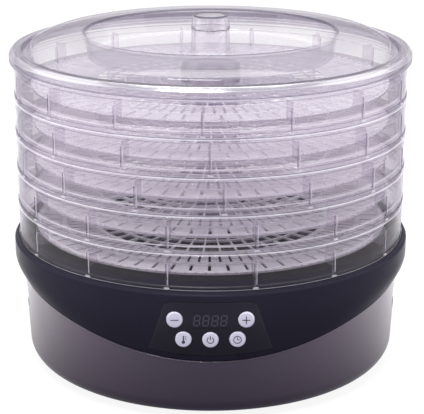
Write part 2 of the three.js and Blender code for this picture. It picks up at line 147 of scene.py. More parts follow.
def graded(nodes, links, vector, axis, span, low, high):
    """A colour that runs from low to high along one axis of a vector."""
    split = nodes.new("ShaderNodeSeparateXYZ")
    links.new(vector, split.inputs[0])
    ramp = nodes.new("ShaderNodeValToRGB")
    ramp.color_ramp.elements[0].color = (*low, 1)
    ramp.color_ramp.elements[1].color = (*high, 1)
    spread = nodes.new("ShaderNodeMapRange")
    spread.inputs["From Min"].default_value, spread.inputs["From Max"].default_value = span
    links.new(split.outputs[axis], spread.inputs["Value"])
    links.new(spread.outputs["Result"], ramp.inputs["Fac"])
    return ramp.outputs["Color"]


def add_world():
    """White to the camera. To surfaces it is a studio: bright at the sides and
    behind, dark in front."""
    world = bpy.data.worlds.new("studio")
    scene.world = world
    world.use_nodes = True
    nodes, links = world.node_tree.nodes, world.node_tree.links
    place = nodes.new("ShaderNodeTexCoord").outputs["Generated"]
    studio = graded(nodes, links, place, "Y", (-1, 0.35), (0.16, 0.15, 0.20), (0.88, 0.87, 0.90))
    path = nodes.new("ShaderNodeLightPath")
    mix = nodes.new("ShaderNodeMix")
    mix.data_type = "RGBA"
    mix.inputs["B"].default_value = (1, 1, 1, 1)
    links.new(studio, mix.inputs["A"])
    links.new(path.outputs["Is Camera Ray"], mix.inputs["Factor"])
    links.new(mix.outputs["Result"], nodes["Background"].inputs["Color"])


def add_stage():
    """A pale floor, evenly white to the camera. To reflections it glows with painted light:
    lighter at the sides and behind, painted shade in front of the object and a painted
    shadow close round it, as a studio floor is between two softboxes."""
    mesh = bpy.data.meshes.new("floor")
    reach = 9
    mesh.from_pydata(
        [(-reach, -reach, 0), (reach, -reach, 0), (reach, reach, 0), (-reach, reach, 0)],
        [],
        [(0, 1, 2, 3)],
    )
    floor = bpy.data.objects.new("floor", mesh)
    scene.collection.objects.link(floor)
    material = bpy.data.materials.new("floor")
    material.use_nodes = True
    nodes, links = material.node_tree.nodes, material.node_tree.links
    pale = nodes["Principled BSDF"]
    pale.inputs["Base Color"].default_value = (0.8, 0.8, 0.81, 1)
    pale.inputs["Roughness"].default_value = 0.8
    white = nodes.new("ShaderNodeEmission")
    white.inputs["Strength"].default_value = 1.05
    seen = nodes.new("ShaderNodeMixShader")
    seen.inputs["Fac"].default_value = 0.86
    links.new(pale.outputs[0], seen.inputs[1])
    links.new(white.outputs[0], seen.inputs[2])

    # Painted light for reflections: the floor glows, lighter at the sides and behind, with painted
    # shade in front.
    place = nodes.new("ShaderNodeTexCoord").outputs["Object"]
    heading = nodes.new("ShaderNodeVectorMath")
    heading.operation = "NORMALIZE"
    links.new(place, heading.inputs[0])
    shade_by_side = graded(
        nodes, links, heading.outputs[0], "Y", (-1, -0.1), (0.30, 0.28, 0.36), (1.0, 0.98, 1.02)
    )
    # Painted contact shadow: the glow dims close round the object.
    reach_out = nodes.new("ShaderNodeVectorMath")
    reach_out.operation = "LENGTH"
    links.new(place, reach_out.inputs[0])
    painted_contact_shadow = nodes.new("ShaderNodeMapRange")
    for key, number in (("From Min", 0.15), ("From Max", 0.32), ("To Min", 0.45), ("To Max", 1.6)):
        painted_contact_shadow.inputs[key].default_value = number
    links.new(reach_out.outputs["Value"], painted_contact_shadow.inputs["Value"])
    mirrored = nodes.new("ShaderNodeEmission")
    links.new(shade_by_side, mirrored.inputs["Color"])
    links.new(painted_contact_shadow.outputs["Result"], mirrored.inputs["Strength"])

    path = nodes.new("ShaderNodeLightPath")
    mix = nodes.new("ShaderNodeMixShader")
    links.new(path.outputs["Is Camera Ray"], mix.inputs["Fac"])
    links.new(mirrored.outputs[0], mix.inputs[1])
    links.new(seen.outputs[0], mix.inputs[2])
    links.new(mix.outputs[0], nodes["Material Output"].inputs["Surface"])
    mesh.materials.append(material)


add_camera()
add_world()
add_stage()
add_light("top_softbox", (0.0, 0.2, 2.2), (2.0, 1.6), 46)
add_light("key_softbox", (-0.28, -1.17, 2.05), (0.97, 0.45), 30)
add_light("left_softbox", (-2.2, 0.2, 1.2), (2.4, 2.4), 18)
add_light("right_softbox", (2.2, 0.2, 1.2), (2.4, 2.4), 18)

# ---- Materials ----------------------------------------------------------


class Tree:
    """A material's node tree, with short calls to add and link nodes."""

    def __init__(self, name):
        self.material = bpy.data.materials.new(name)
        self.material.use_nodes = True
        self.nodes = self.material.node_tree.nodes
        self.links = self.material.node_tree.links
        self.shader = self.nodes["Principled BSDF"]
        self.output = self.nodes["Material Output"]

    def add(self, kind, **inputs):
        node = self.nodes.new("ShaderNode" + kind)
        for key, value in inputs.items():
            self.set(node, key.replace("_", " "), value)
        return node

    def set(self, node, key, value):
        socket = node.inputs[key]
        if isinstance(value, bpy.types.NodeSocket):
            self.links.new(value, socket)
        elif isinstance(value, tuple) and len(value) == 3 and socket.type == "RGBA":
            socket.default_value = (*value, 1)
        else:
            socket.default_value = value

    def principled(self, **inputs):
        for key, value in inputs.items():
            self.set(self.shader, key.replace("_", " "), value)

    def place(self):
        return self.add("TexCoord").outputs["Object"]

    def noise(self, scale, detail=3.0, stretch=(1, 1, 1), roughness=0.55):
        mapping = self.add("Mapping", Vector=self.place(), Scale=stretch)
        noise = self.add("TexNoise", Scale=scale, Detail=detail, Roughness=roughness)
        self.links.new(mapping.outputs["Vector"], noise.inputs["Vector"])
        return noise.outputs["Fac"]

    def ramp(self, value, low, high, span=(0.3, 0.7)):
        """Turns a 0 to 1 value into numbers between low and high."""
        node = self.add("MapRange")
        self.set(node, "Value", value)
        for key, number in zip(("From Min", "From Max", "To Min", "To Max"), (*span, low, high)):
            node.inputs[key].default_value = number
        return node.outputs["Result"]

    def blend(self, factor, first, second):
        node = self.nodes.new("ShaderNodeMix")
        node.data_type = "RGBA"
        for socket, value in (("Factor", factor), ("A", first), ("B", second)):
            self.set(node, socket, value)
        return node.outputs["Result"]

    def power(self, value, exponent):
        node = self.nodes.new("ShaderNodeMath")
        node.operation = "POWER"
        self.links.new(value, node.inputs[0])
        node.inputs[1].default_value = exponent
        return node.outputs[0]

    def mix_shader(self, factor, first, second):
        node = self.add("MixShader", Fac=factor)
        self.links.new(first.outputs[0], node.inputs[1])
        self.links.new(second.outputs[0], node.inputs[2])
        return node

    def bump(self, height, strength, distance):
        node = self.add("Bump", Height=height, Strength=strength, Distance=distance)
        return node.outputs["Normal"]


def moulded(name, colour, rough, grain=900.0, depth=0.00002, vary=0.1, **extra):
    """Moulded plastic: faint flow marks in the colour, fine grain in the surface."""
    t = Tree(name)
    darker = tuple(c * (1 - vary) for c in colour)
    lighter = tuple(min(1.0, c * (1 + vary)) for c in colour)
    flow = t.ramp(t.noise(14, 4), 0, 1)
    grain_height = t.noise(grain, 2)
    t.principled(
        Base_Color=t.blend(flow, darker, lighter),
        Roughness=t.ramp(t.noise(60, 4), rough * 0.85, rough * 1.15),
        Normal=t.bump(grain_height, 0.25, depth),
        **extra,
    )
    return t.material


def clear_plastic(name, tint, edge, haze, haze_colour, rough=0.06, gloss=0.04, sharp=6.0,
                  mirror=0.8, wave=0.0004):
    """Clear moulded plastic. Thin walls hardly move what is behind them, so it is a
    see-through film, deeper in colour where the view runs along the wall, with a
    gloss that grows towards the edges and a little haze."""
    t = Tree(name)
    t.nodes.remove(t.shader)
    normal = t.bump(t.noise(26, 3), 0.4, wave)
    facing = t.add("LayerWeight", Blend=0.5)
    t.links.new(normal, facing.inputs["Normal"])
    along = facing.outputs["Facing"]
    through = t.add("BsdfTransparent", Color=t.blend(t.power(along, sharp), tint, edge))
    milk = t.add("BsdfDiffuse", Color=haze_colour)
    t.links.new(normal, milk.inputs["Normal"])
    shine = t.add("BsdfAnisotropic", Color=(1.0, 1.0, 1.0), Roughness=rough)
    t.links.new(normal, shine.inputs["Normal"])
    hazy = t.ramp(t.noise(40, 4), haze * 0.8, haze * 1.2)
    inner = t.mix_shader(hazy, through, milk)
    mirrored = t.ramp(t.power(along, 7), gloss, mirror, (0, 1))
    outer = t.mix_shader(mirrored, inner, shine)
    t.links.new(outer.outputs[0], t.output.inputs["Surface"])
    return t.material


def metallic_paint(name, colour, rough):
    """Metallic plastic: fine flakes that vary the brightness under a clear coat."""
    t = Tree(name)
    flake = t.add("TexVoronoi", Scale=2600.0)
    t.links.new(t.place(), flake.inputs["Vector"])
    sparkle = t.ramp(flake.outputs["Distance"], 0, 1, (0.1, 0.6))
    bright = tuple(c * 1.35 for c in colour)
    t.principled(
        Base_Color=t.blend(sparkle, bright, colour),
        Metallic=0.55,
        Roughness=t.ramp(t.noise(35, 4), rough * 0.9, rough * 1.1),
        Coat_Weight=0.8,
        Coat_Roughness=0.12,
        Normal=t.bump(t.noise(1200, 2), 0.15, 0.00001),
    )
    return t.material


def metal(name, colour, rough, stretch=(1, 1, 1), scale=220.0):
    """Bare metal with brushed or rolled marks along one direction."""
    t = Tree(name)
    marks = t.noise(scale, 5, stretch)
    t.principled(
        Base_Color=t.blend(t.ramp(marks, 0, 1), tuple(c * 0.8 for c in colour), colour),
        Metallic=1.0,
        Roughness=t.ramp(marks, rough * 0.7, rough * 1.3),
        Normal=t.bump(marks, 0.2, 0.00003),
    )
    return t.material


BAND_BLACK = moulded(
    "band_black", (0.025, 0.0235, 0.036), 0.26, depth=0.000003, vary=0.06,
    Specular_IOR_Level=0.015,
)
DECK_BLACK = moulded(
    "deck_black", (0.013, 0.0125, 0.018), 0.6, depth=0.000003, vary=0.1,
    Specular_IOR_Level=0.02,
)
SHELL_METALLIC = metallic_paint("shell_metallic", (0.088, 0.069, 0.094), 0.34)
PANEL_GLOSS = moulded("panel_gloss", (0.006, 0.006, 0.012), 0.06, grain=300, depth=0.000004)
KEY_WHITE = moulded("key_white", (0.74, 0.735, 0.83), 0.33, vary=0.04)
LEGEND = moulded("key_legend", (0.045, 0.042, 0.07), 0.4, vary=0.05)
DIGIT_GREY = moulded("digit_grey", (0.07, 0.07, 0.085), 0.35, vary=0.1)
GREY_PLASTIC = moulded("grey_plastic", (0.07, 0.07, 0.078), 0.5, vary=0.12)
RUBBER = moulded("rubber_black", (0.02, 0.02, 0.021), 0.8, grain=700, depth=0.00006, vary=0.2)
FAN_NYLON = moulded("fan_nylon", (0.02, 0.02, 0.024), 0.42, vary=0.15)
PART_BLACK = moulded("component_black", (0.025, 0.025, 0.028), 0.45, vary=0.2)
PART_BLUE = moulded("relay_blue", (0.02, 0.05, 0.16), 0.35, vary=0.1)
BOARD_GREEN = moulded(
    "board_green", (0.012, 0.075, 0.03), 0.35, grain=420, depth=0.00004, vary=0.25
)
MICA_BROWN = moulded("mica_sheet", (0.36, 0.29, 0.18), 0.5, grain=240, depth=0.00005, vary=0.3)
SCREW_STEEL = metal("screw_steel", (0.62, 0.62, 0.64), 0.3)
MOTOR_STEEL = metal("motor_steel", (0.5, 0.5, 0.52), 0.38, (1, 1, 12))
SHAFT_STEEL = metal("shaft_steel", (0.68, 0.68, 0.7), 0.2, (1, 1, 8))
COIL_METAL = metal("coil_metal", (0.20, 0.18, 0.17), 0.45)

MILK = (0.84, 0.815, 0.85)  # haze in the clear plastic
WELL_MILK = (0.97, 0.95, 0.98)
DEEP = (0.44, 0.405, 0.475)  # tints where the view runs along a wall
SMOKE = (0.22, 0.20, 0.255)
TRAY_CLEAR = clear_plastic(
    "tray_clear", (0.974, 0.967, 0.974), DEEP, 0.006, MILK, gloss=0.012, sharp=5.0, mirror=0.65
)
TRAY_MARGIN = clear_plastic(
    "tray_margin", (0.95, 0.943, 0.95), DEEP, 0.008, MILK, 0.1, 0.008, 5.0, 0.1
)
# Painted light and shade: each tray's frosting has its own haze and colour, greyer on the upper
# trays where more light falls and whiter below, to even out the light through the stack.
FLOORS_CLEAR = [  # from the lowest tray up, the frosting is greyer where more light falls
    clear_plastic(f"tray_floor_clear_{5 - i}", (0.965, 0.957, 0.97), DEEP, haze, milk, 0.14)
    for i, (haze, milk) in enumerate((
        (0.56, (0.98, 0.97, 0.98)), (0.40, (0.93, 0.915, 0.935)), (0.38, (0.96, 0.94, 0.96)),
        (0.35, (0.92, 0.90, 0.925)), (0.32, (0.80, 0.78, 0.805)),
    ))
]
TRAY_RIB = clear_plastic("tray_rib", (0.93, 0.915, 0.937), DEEP, 0.10, MILK, 0.1, 0.06)
COLLAR_CLEAR = clear_plastic("tray_collar", (0.95, 0.94, 0.957), SMOKE, 0.08, MILK, 0.1, 0.04, 4.0)
TOP_COLLAR = clear_plastic(
    "top_tray_collar", (0.90, 0.885, 0.91), SMOKE, 0.05, MILK, 0.1, 0.04, 1.5
)
# Painted shade and painted highlight: a darker and a lighter copy of the clear plastic, laid in
# bands on the edges and steps of the mouldings to draw dark and light lines.
PAINTED_EDGE_SHADE = clear_plastic("edge_shadow", (0.70, 0.665, 0.735), DEEP, 0.04, MILK, 0.3, 0.008)
PAINTED_EDGE_HIGHLIGHT = clear_plastic(
    "painted_highlight_clear", (0.95, 0.94, 0.955), DEEP, 0.46, (0.98, 0.965, 0.985), 0.14, 0.07
)
LID_CLEAR = clear_plastic(
    "lid_clear", (0.895, 0.885, 0.902), DEEP, 0.02, MILK, 0.05, 0.03, 9.0, 0.5
)
WELL_CLEAR = clear_plastic(
    "lid_well_clear", (0.945, 0.936, 0.95), DEEP, 0.075, WELL_MILK, 0.05, 0.02, 8.0, 0.3
)
WELL_WALL = clear_plastic(
    "lid_well_wall", (0.925, 0.916, 0.93), DEEP, 0.03, WELL_MILK, 0.05, 0.015, 9.0, 0.25
)
LID_RIM = clear_plastic("lid_rim", (0.88, 0.868, 0.895), SMOKE, 0.08, MILK, 0.06, 0.05, 3.0, 0.3)
LID_BEVEL = clear_plastic("lid_bevel", (0.93, 0.92, 0.94), SMOKE, 0.06, MILK, 0.14, 0.28, 3.5, 0.4)
# Painted shade, for dark lines along the lid's groove and round the knob's top.
SHADE_LINE_CLEAR = clear_plastic("painted_shade_line", (0.37, 0.345, 0.42), SMOKE, 0.03, MILK, 0.3, 0.01)
KNOB_CLEAR = clear_plastic(
    "knob_clear", (0.99, 0.982, 0.992), SMOKE, 0.11, (1.0, 0.98, 1.0), 0.08, 0.05, 3.6
)

# ---- Mesh building ------------------------------------------------------


class Shape:
    """Collects closed pieces of mesh, in millimetres, into one object."""

    def __init__(self):
        self.verts, self.faces, self.mats = [], [], []

    def add(self, verts, faces, mat=0, move=None):
        start = len(self.verts)
        self.verts += [tuple(move @ Vector(v)) if move else tuple(v) for v in verts]
        self.faces += [tuple(start + i for i in face) for face in faces]
        self.mats += [mat] * len(faces)
        return self

    def build(self, name, *materials, smooth=30, weld=0.0):
        mesh = bpy.data.meshes.new(name)
        mesh.from_pydata([tuple(c * MM for c in v) for v in self.verts], [], self.faces)
        for material in materials:
            mesh.materials.append(material)
        mesh.polygons.foreach_set("material_index", self.mats)
        bm = bmesh.new()
        bm.from_mesh(mesh)
        if weld:
            bmesh.ops.remove_doubles(bm, verts=bm.verts, dist=weld * MM)
        bmesh.ops.recalc_face_normals(bm, faces=bm.faces)
        bm.to_mesh(mesh)
        bm.free()
        shade(mesh, smooth)
        obj = bpy.data.objects.new(name, mesh)
        scene.collection.objects.link(obj)
        return obj


def shade(mesh, angle):
    mesh.polygons.foreach_set("use_smooth", [True] * len(mesh.polygons))
    mesh.set_sharp_from_angle(angle=math.radians(angle))


def fillet(points, steps=4):
    """Rounds the corners of a closed outline of (a, b, radius) points. The outline
    keeps the same number of points whatever its sizes are."""
    out = []
    for i, (a, b, radius) in enumerate(points):
        here = Vector((a, b))
        if not radius:
            out.append((a, b))
            continue
        before = Vector(points[i - 1][:2]) - here
        after = Vector(points[(i + 1) % len(points)][:2]) - here
        turn = before.angle(after)
        reach = min(radius / math.tan(turn / 2), before.length * 0.49, after.length * 0.49)
        start, end = here + before.normalized() * reach, here + after.normalized() * reach
        for k in range(steps + 1):
            t = k / steps
            out.append(tuple(start * (1 - t) ** 2 + here * 2 * t * (1 - t) + end * t ** 2))
    return out


def revolved(profile, segments=192, turn=0.0):
    """A closed outline of (radius, height) turned about Z. The outline may be a
    function of the angle from the front."""
    at = profile if callable(profile) else (lambda angle: profile)
    rows = [at(2 * math.pi * k / segments) for k in range(segments)]
    count = len(rows[0])
    verts = []
    for k, row in enumerate(rows):
        angle = 2 * math.pi * k / segments + turn
        verts += [(r * math.sin(angle), -r * math.cos(angle), z) for r, z in row]
    faces = []
    for k in range(segments):
        a, b = k * count, ((k + 1) % segments) * count
        for i in range(count):
            j = (i + 1) % count
            faces.append((a + i, b + i, b + j, a + j))
    return verts, faces


def turned_wall(shape, profile, segments, look):
    """Adds a revolved outline. look(radius, height) gives the look of each face, from
    the front's outline where the outline changes with the angle."""
    verts, faces = revolved(profile, segments)
    start = len(shape.faces)
    shape.add(verts, faces)
    if callable(profile):
        profile = profile(0.0)
    count = len(profile)
    for i in range(count):
        (r0, z0), (r1, z1) = profile[i], profile[(i + 1) % count]
        mat = look((r0 + r1) / 2, (z0 + z1) / 2)
        for k in range(segments):
            shape.mats[start + k * count + i] = mat


def turned(profile, segments=64):
    """An outline of (radius, height) from axis to axis, turned about Z."""
    inner = profile[1:-1]
    verts = [(0, 0, profile[0][1]), (0, 0, profile[-1][1])]
    for k in range(segments):
        angle = 2 * math.pi * k / segments
        verts += [(r * math.sin(angle), -r * math.cos(angle), z) for r, z in inner]
    count = len(inner)
    faces = []
    for k in range(segments):
        a, b = 2 + k * count, 2 + ((k + 1) % segments) * count
        faces.append((0, a, b))
        faces.append((1, b + count - 1, a + count - 1))
        for i in range(count - 1):
            faces.append((a + i, a + i + 1, b + i + 1, b + i))
    return verts, faces


def block(x, y, z, bevel=0.3, segments=2):
    """A box between pairs of limits, with rounded edges."""
    bm = bmesh.new()
    bmesh.ops.create_cube(bm, size=1)
    size = Vector((x[1] - x[0], y[1] - y[0], z[1] - z[0]))
    middle = Vector(((x[0] + x[1]) / 2, (y[0] + y[1]) / 2, (z[0] + z[1]) / 2))
    for v in bm.verts:
        v.co = Vector(v.co[i] * size[i] for i in range(3)) + middle
    if bevel:
        bmesh.ops.bevel(
            bm, geom=bm.edges[:], offset=bevel, segments=segments, profile=0.5, affect="EDGES"
        )
    return taken(bm)


def taken(bm):
    """The points and faces of a bmesh, which is freed."""
    bm.verts.index_update()
    verts = [tuple(v.co) for v in bm.verts]
    faces = [tuple(v.index for v in f.verts) for f in bm.faces]
    bm.free()
    return verts, faces


def slab(outline, z):
    """A flat outline of (x, y) points between two heights."""
    count = len(outline)
    verts = [(x, y, z[0]) for x, y in outline] + [(x, y, z[1]) for x, y in outline]
    faces = [tuple(range(count))[::-1], tuple(range(count, 2 * count))]
    faces += [(i, (i + 1) % count, count + (i + 1) % count, count + i) for i in range(count)]
    return verts, faces


def polar_plate(radii, steps, solid, z, turn=0.0):
    """A flat ring between radii, cut in equal angular steps, where solid(band, step)
    says which cells are material. The result is closed and welded."""
    verts, index, faces = [], {}, []

    def corner(band, step, level):
        key = (band, step % steps, level)
        if key not in index:
            index[key] = len(verts)
            angle = 2 * math.pi * (step % steps) / steps + turn
            r = radii[band]
            verts.append((r * math.sin(angle), -r * math.cos(angle), z[level]))
        return index[key]

    bands = len(radii) - 1
    full = [[solid(b, s) for s in range(steps)] for b in range(bands)]
    for b in range(bands):
        for s in range(steps):
            if not full[b][s]:
                continue
            around = [(b, s), (b + 1, s), (b + 1, s + 1), (b, s + 1)]
            faces.append(tuple(corner(*c, 1) for c in around))
            faces.append(tuple(corner(*c, 0) for c in reversed(around)))
            sides = (
                (b == 0 or not full[b - 1][s], (b, s + 1), (b, s)),
                (b == bands - 1 or not full[b + 1][s], (b + 1, s), (b + 1, s + 1)),
                (not full[b][s - 1], (b, s), (b + 1, s)),
                (not full[b][(s + 1) % steps], (b + 1, s + 1), (b, s + 1)),
            )
            for bare, first, second in sides:
                if bare:
                    faces.append((
                        corner(*first, 0), corner(*second, 0),
                        corner(*second, 1), corner(*first, 1),
                    ))
    return verts, faces


def sheet_faces(rows, columns):
    """The faces of a closed sheet: a grid of points for the front, row by row, then
    the same grid for the back."""
    faces, back = [], rows * columns
    for r in range(rows - 1):
        for c in range(columns - 1):
            a = r * columns + c
            quad = (a, a + 1, a + columns + 1, a + columns)
            faces.append(quad)
            faces.append(tuple(back + i for i in reversed(quad)))
    border = list(range(columns))
    border += [r * columns + columns - 1 for r in range(1, rows)]
    border += [(rows - 1) * columns + c for c in range(columns - 2, -1, -1)]
    border += [r * columns for r in range(rows - 2, 0, -1)]
    for i, a in enumerate(border):
        b = border[(i + 1) % len(border)]
        faces.append((a, back + a, back + b, b))
    return faces


def boolean(obj, tools, operation="DIFFERENCE", smooth=30):
    """Cuts or joins tools with obj, then removes them."""
    for tool in tools:
        modifier = obj.modifiers.new("cut", "BOOLEAN")
        modifier.operation = operation
        modifier.solver = "EXACT"
        modifier.object = tool
        modifier.use_self = False
    graph = bpy.context.evaluated_depsgraph_get()
    mesh = bpy.data.meshes.new_from_object(obj.evaluated_get(graph))
    obj.modifiers.clear()
    old = obj.data
    obj.data = mesh
    mesh.name = obj.name
    bpy.data.meshes.remove(old)
    for tool in tools:
        bpy.data.objects.remove(tool)
    shade(mesh, smooth)
    return obj


def put(obj, body, slot, *nodes):
    """Gives a piece its body, and hides the frame's nodes that it replaces. slot is not used."""
    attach(obj, body)
    if nodes:
        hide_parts(*nodes)
    return obj


def upright(x=0.0, y=0.0, z=0.0):
    return Matrix.Translation((x, y, z))


# ---- The base's outer surface -------------------------------------------


def seam_z(angle):
    """Height of the seam between the shells, at an angle from the front."""
    return SEAM_LEVEL - SEAM_DIP * max(0.0, math.cos(angle)) ** 3


def band_radius(angle, z):
    """Radius of the dark band's surface at a height."""
    low = seam_z(angle)
    t = min(1.0, max(0.0, (z - low) / (BAND_TOP - low)))
    return SEAM_RADIUS + (RING - SEAM_RADIUS) * math.sin(t * math.pi / 2)


def on_band(x, z, lift=0.0):
    """The point of the band's front at x and z, raised off it by lift."""
    angle = math.asin(x / RING)
    radius = band_radius(angle, z) + lift
    return (x, -math.sqrt(radius ** 2 - x ** 2), z)


def band_outline(angle, inset, steps, rise):
    """The band's outline from rise above the seam to its full width."""
    low = seam_z(angle) + rise
    out = []
    for k in range(steps + 1):
        t = k / steps
        z = low + (BAND_TOP - low) * t
        out.append((band_radius(angle, z) - inset, z))
    return out


DECK = 1  # the matt look of the upper shell inside the trays' lip


def upper_shell():
    def outline(angle):
        outside = band_outline(angle, 0, 18, GAP / 2)
        foot = outside[0]
        soft_foot = [(foot[0] - 1.2, foot[1]), (foot[0] - 0.35, foot[1] + 0.1)]
        top = fillet([
            (RING, BAND_TOP + 1, 0),
            (RING, BASE_TOP - 2.2, 1.0),
            (RING - 1.1, BASE_TOP - 0.9, 0.6),
            (RING - 2.0, BASE_TOP - 0.9, 0.3),
            (RING - 2.4, BASE_TOP, 0.4),
            (LIP + 0.6, BASE_TOP, 0.5),
            (LIP, BASE_TOP + 7, 0.8),
            (LIP - 2.5, BASE_TOP + 7, 0.8),
            (LIP - 5, BASE_TOP - 1, 2.0),
            (130, BASE_TOP - 1.8, 1.0),
            (128, BASE_TOP - 3.0, 1.0),
            (OUTLET + 6, BASE_TOP - 4.6, 2.0),
            (OUTLET, BASE_TOP - 4, 0.6),
            (OUTLET, BASE_TOP - 8, 0.4),
            (OUTLET - 6, BASE_TOP - 8, 0.8),
            (OUTLET - 6, BASE_TOP - 16, 0.5),
            (OUTLET + 3, BASE_TOP - 16, 0.5),
            (OUTLET + 3, BASE_TOP - 7.4, 1.0),
            (RING - SHELL - 10, BASE_TOP - 4, 1.0),
            (RING - SHELL, BASE_TOP - 4.4, 1.0),
        ], 3)
        inside = band_outline(angle, SHELL, 18, GAP / 2)[::-1]
        return soft_foot + outside[1:-1] + top + inside

    shape = Shape()
    turned_wall(
        shape, outline, 288, lambda r, z: DECK if r < LIP - 1 and z > BASE_TOP - 7 else 0
    )
    shell = shape.build("upper_shell_skin", BAND_BLACK, DECK_BLACK)
    recess = panel_sheet("panel_recess_tool", GAP / 2, 2.0, RECESS_BACK, 0)
    holes = [key_hole(name) for name in KEYS] + [window_tool(GAP), recess]
    return boolean(shell, holes)


def key_centre(name):
    """Middle (x, z), face and radius of a key's cap."""
    low, high = node_box(name)
    return (low.x + high.x) / 2, (low.z + high.z) / 2, low.y, (high.x - low.x) / 2 - 1.3


def key_hole(name):
    x, z, _, radius = key_centre(name)
    tool = Shape().add(*turned([(0, 0), (radius + 0.35, 0), (radius + 0.35, 40), (0, 40)], 48),
                       move=Matrix.Translation((x, -145, z)) @ Matrix.Rotation(math.pi / 2, 4, "X"))
    return tool.build("key_hole_tool")


def window_tool(margin):
    low, high = node_box("display_window")
    x = (low.x - margin, high.x + margin)
    z = (low.z - margin, high.z + margin)
    outline = fillet([
        (x[0], z[0], 1.2), (x[1], z[0], 1.2), (x[1], z[1], 1.2), (x[0], z[1], 1.2),
    ], 3)
    verts, faces = slab(outline, (145, 185))
    turn = Matrix.Rotation(math.pi / 2, 4, "X")
    return Shape().add(verts, faces, move=turn).build("window_tool")


def panel_sheet(name, margin, front, back, drop, *looks):
    """A trapezium with round upper corners that follows the band, between two heights
    from it. margin makes it larger all round; drop lowers its front's edges."""
    top = PANEL_TOP + margin
    bottom_half, top_half = PANEL_HALF_BOTTOM + margin, PANEL_HALF_TOP + margin
    rise = PANEL_RISE - margin
    columns = [-1 + 2 * k / 96 for k in range(97)]
    rows = []
    span = top - (seam_z(0) + rise)
    corner = {1 - PANEL_CORNER / span * (1 - math.sin(k * math.pi / 20)) for k in range(10)}
    for t in sorted({0.0, 0.008, 0.992, 1.0} | {k / 64 for k in range(1, 64)} | corner):
        half = bottom_half + (top_half - bottom_half) * t
        over = max(0.0, t * span - (span - PANEL_CORNER))
        half -= PANEL_CORNER - math.sqrt(max(0.0, PANEL_CORNER ** 2 - over ** 2))
        rows.append((t, half))
    verts = []
    for lift, fall in ((front, drop), (back, 0)):
        for t, half in rows:
            for u in columns:
                x = u * half
                z_low = seam_z(math.asin(x / RING)) + rise
                z = z_low + (top - z_low) * t
                edge = t in (0.0, 1.0) or abs(u) == 1
                verts.append(on_band(x, z, lift - fall if edge else lift))
    faces = sheet_faces(len(rows), len(columns))
    return Shape().add(verts, faces).build(name, *looks)


def lower_shell():
    edge = BODY_RADIUS - CORNER
    centre = BOTTOM + CORNER
    plate = node_box("bottom_plate")[1]

    def outline(angle):
        top = seam_z(angle) - GAP / 2
        corner = [
            (edge + CORNER * math.sin(t * math.pi / 2), centre - CORNER * math.cos(t * math.pi / 2))
            for t in (k / 12 for k in range(13))
        ]
        wall = [
            (BODY_RADIUS + 3 * (z - centre) / (top - centre), z)
            for z in (centre + (top - 1.2 - centre) * k / 14 for k in range(1, 15))
        ]
        rim = fillet([
            (SEAM_RADIUS, top - 0.8, 0),
            (SEAM_RADIUS - 0.2, top, 0.35),
            (SEAM_RADIUS - SHELL, top, 0.35),
            (SEAM_RADIUS - SHELL, top - 1.5, 0),
        ], 3)
        inner = CORNER - SHELL
        inside = [
            (edge + inner * math.sin(t * math.pi / 2), centre - inner * math.cos(t * math.pi / 2))
            for t in (1 - k / 8 for k in range(9))
        ]
        flange = fillet([
            (edge - 2, 10, 0.5),
            (105, 10, 0.8),
            (105, plate.z + GAP, 0.3),
            (plate.x + GAP, plate.z + GAP, 0.3),
            (plate.x + GAP, BOTTOM, 0.6),
        ], 2)
        return corner + wall + rim + inside + flange

    shell = Shape().add(*revolved(outline, 288)).build("lower_shell_skin", SHELL_METALLIC)
    liners = [grip_tool(side, SHELL, GRIP_BACK - SHELL, 152.5) for side in (-1, 1)]
    boolean(shell, liners, "UNION")
    low, high = node_box("power_inlet")
    inlet = Shape().add(*block(
        (low.x - GAP, high.x + GAP), (130, 172), (low.z - GAP, high.z + GAP), 0.6
    ))
    tools = [grip_tool(side, 0, GRIP_BACK, 180) for side in (-1, 1)]
    tools.append(inlet.build("inlet_tool"))
    return boolean(shell, tools)


def grip_tool(side, margin, start, end):
    """The U-shaped hand grip in a side of the lower shell, or the block round it."""
    half, floor, roof, soft = 40 + margin, 50 - margin, 69 + margin, 8 + margin
    outline = fillet([
        (-half, floor, soft), (half, floor, soft), (half, roof, 2.0), (-half, roof, 2.0),
    ], 8)
    verts, faces = slab(outline, (start, end))
    turn = Matrix.Rotation(math.pi / 2, 4, "Z") @ Matrix.Rotation(math.pi / 2, 4, "X")
    flip = Matrix.Rotation(math.pi if side < 0 else 0.0, 4, "Z")
    return Shape().add(verts, faces, move=flip @ turn).build("grip_tool")


put(upper_shell(), "base", "black_band", "upper_shell")
put(lower_shell(), "base", "metallic_shell", "lower_shell")

# ---- Control panel ------------------------------------------------------


def control_panel():
    """The glossy overlay, let into the band's recess."""
    panel = panel_sheet("control_panel_overlay", 0, PANEL_FACE, PANEL_BACK, 0.18, PANEL_GLOSS)
    return boolean(panel, [key_hole(name) for name in KEYS] + [window_tool(0.08)])


def display_window():
    """The lens over the display, flush with the overlay."""
    low, high = node_box("display_window")
    columns, rows = 40, 16
    verts = []
    for lift, fall in ((PANEL_FACE, 0.1), (LENS_BACK, 0)):
        for r in range(rows + 1):
            for c in range(columns + 1):
                x = low.x + (high.x - low.x) * c / columns
                z = low.z + (high.z - low.z) * r / rows
                edge = c in (0, columns) or r in (0, rows)
                verts.append(on_band(x, z, lift - fall if edge else lift))
    faces = sheet_faces(rows + 1, columns + 1)
    return Shape().add(verts, faces).build("display_lens", PANEL_GLOSS)


